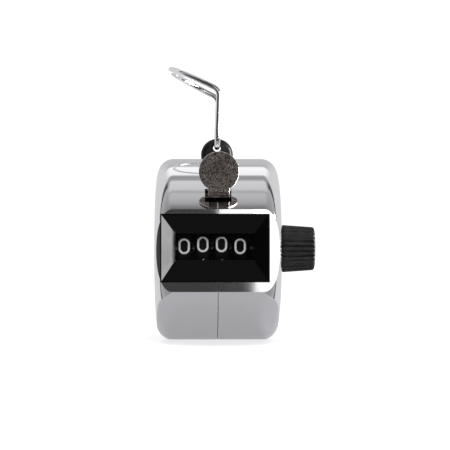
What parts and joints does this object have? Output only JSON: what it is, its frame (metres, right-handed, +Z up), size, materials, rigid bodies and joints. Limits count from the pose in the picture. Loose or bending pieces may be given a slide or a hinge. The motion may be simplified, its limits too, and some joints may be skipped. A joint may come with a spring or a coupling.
{
  "type": "hand tally counter",
  "caption": "Pocket hand tally counter: a bright drum case with a black-framed window, thumb lever, reset knob and a wire finger ring.",
  "frame": {"origin": "middle of the flat under the drum that it rests on", "axes": "X to the right, the reset knob's side; Y to the back, away from the window; Z up, towards the finger ring"},
  "size_m": [0.0386, 0.0456, 0.0665],
  "materials": {
    "chrome": "polished",
    "satin_nickel": "satin",
    "steel": "satin",
    "brass": "satin",
    "black_gloss": "gloss",
    "black_satin": "satin",
    "wheel_black": "matte",
    "digit_white": "matte",
    "clear": "gloss"
  },
  "bodies": {
    "counter": {"case_left_shell": "chrome", "case_right_shell": "chrome", "window_bezel": "black_gloss", "window_lens": "clear", "frame_left_plate": "steel", "frame_right_plate": "steel", "frame_pillars": "steel", "frame_screws": "steel", "case_post": "steel", "case_screws": "chrome", "lever_axle": "steel", "lever_return_spring": "steel", "pinion_shaft": "steel", "back_stop_pin": "steel", "ring_lug": "black_satin", "lug_washer": "steel"},
    "lever": {"thumb_lever": "satin_nickel", "pawl_pin": "steel", "pawl_spring": "steel"},
    "drive_pawl": {"drive_pawl": "steel"},
    "back_stop_pawl": {"back_stop_pawl": "steel"},
    "units": {"units_wheel": "wheel_black"},
    "tens": {"tens_wheel": "wheel_black"},
    "hundreds": {"hundreds_wheel": "wheel_black"},
    "thousands": {"thousands_wheel": "wheel_black"},
    "tens_pinion": {"tens_pinion": "brass"},
    "hundreds_pinion": {"hundreds_pinion": "brass"},
    "thousands_pinion": {"thousands_pinion": "brass"},
    "reset": {"reset_shaft": "steel", "reset_knob": "black_satin"},
    "ring": {"finger_ring": "chrome"}
  },
  "joints": [
    {"name": "lever_press", "type": "hinge", "parent": "counter", "child": "lever", "pos_m": [0, -0.015, 0.01063], "axis": [-1, 0, 0], "range_deg": [0, 8], "stiffness_Nm_per_rad": 0.3},
    {"name": "drive_pawl_lift", "type": "hinge", "parent": "lever", "child": "drive_pawl", "pos_m": [0, -0.0144, 0.03123], "axis": [1, 0, 0], "range_deg": [0, 12], "stiffness_Nm_per_rad": 0.002},
    {"name": "back_stop_lift", "type": "hinge", "parent": "counter", "child": "back_stop_pawl", "pos_m": [0, -0.002, 0.01593], "axis": [1, 0, 0], "range_deg": [0, 12], "stiffness_Nm_per_rad": 0.002},
    {"name": "units_turn", "type": "hinge", "parent": "counter", "child": "units", "pos_m": [0, -0.0095, 0.02193], "axis": [1, 0, 0], "continuous": true},
    {"name": "tens_turn", "type": "hinge", "parent": "counter", "child": "tens", "pos_m": [0, -0.0095, 0.02193], "axis": [1, 0, 0], "continuous": true},
    {"name": "hundreds_turn", "type": "hinge", "parent": "counter", "child": "hundreds", "pos_m": [0, -0.0095, 0.02193], "axis": [1, 0, 0], "continuous": true},
    {"name": "thousands_turn", "type": "hinge", "parent": "counter", "child": "thousands", "pos_m": [0, -0.0095, 0.02193], "axis": [1, 0, 0], "continuous": true},
    {"name": "tens_pinion_turn", "type": "hinge", "parent": "counter", "child": "tens_pinion", "pos_m": [0, -0.00012, 0.02193], "axis": [1, 0, 0], "continuous": true},
    {"name": "hundreds_pinion_turn", "type": "hinge", "parent": "counter", "child": "hundreds_pinion", "pos_m": [0, -0.00012, 0.02193], "axis": [1, 0, 0], "continuous": true},
    {"name": "thousands_pinion_turn", "type": "hinge", "parent": "counter", "child": "thousands_pinion", "pos_m": [0, -0.00012, 0.02193], "axis": [1, 0, 0], "continuous": true},
    {"name": "reset_turn", "type": "hinge", "parent": "counter", "child": "reset", "pos_m": [0, -0.0095, 0.02193], "axis": [1, 0, 0], "continuous": true},
    {"name": "ring_swing", "type": "hinge", "parent": "counter", "child": "ring", "pos_m": [0, 0.007, 0.04653], "axis": [0, 1, 0], "range_deg": [-88, 88]}
  ],
  "couplings": [
    {"joint": "tens_pinion_turn", "follows": "tens_turn", "ratio": -2.5},
    {"joint": "hundreds_pinion_turn", "follows": "hundreds_turn", "ratio": -2.5},
    {"joint": "thousands_pinion_turn", "follows": "thousands_turn", "ratio": -2.5}
  ]
}
